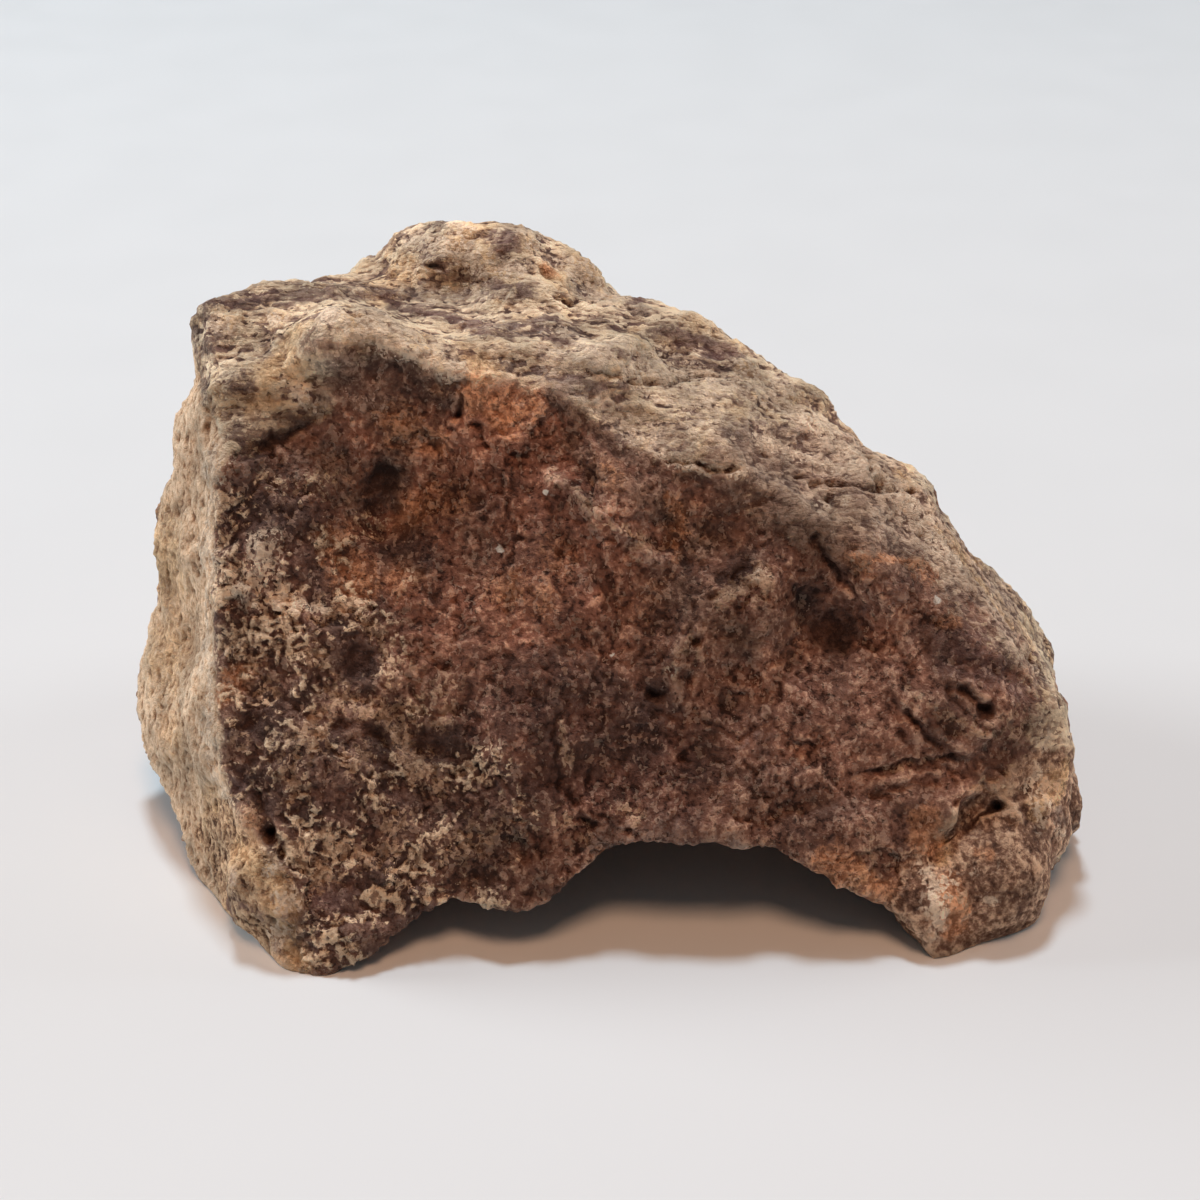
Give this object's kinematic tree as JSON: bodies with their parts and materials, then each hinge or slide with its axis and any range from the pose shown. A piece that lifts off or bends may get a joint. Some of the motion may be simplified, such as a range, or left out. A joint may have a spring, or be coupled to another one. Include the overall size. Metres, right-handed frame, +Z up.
{
  "type": "stone meteorite",
  "caption": "Weathered brown stone meteorite, a broken block with an arched underside, a sloping top and a knob; stands on small worn feet as a specimen or prop.",
  "frame": {"origin": "middle of the stone's bounding box, on the floor it stands on", "axes": "+X along the stone's length towards the sloping end, -Y towards the broken arched front, +Z up"},
  "size_m": [0.0654, 0.042, 0.0378],
  "materials": {
    "stone": "rough, weathered, dull brown with tan crust"
  },
  "bodies": {
    "root": {"meteorite": "stone"}
  },
  "joints": []
}
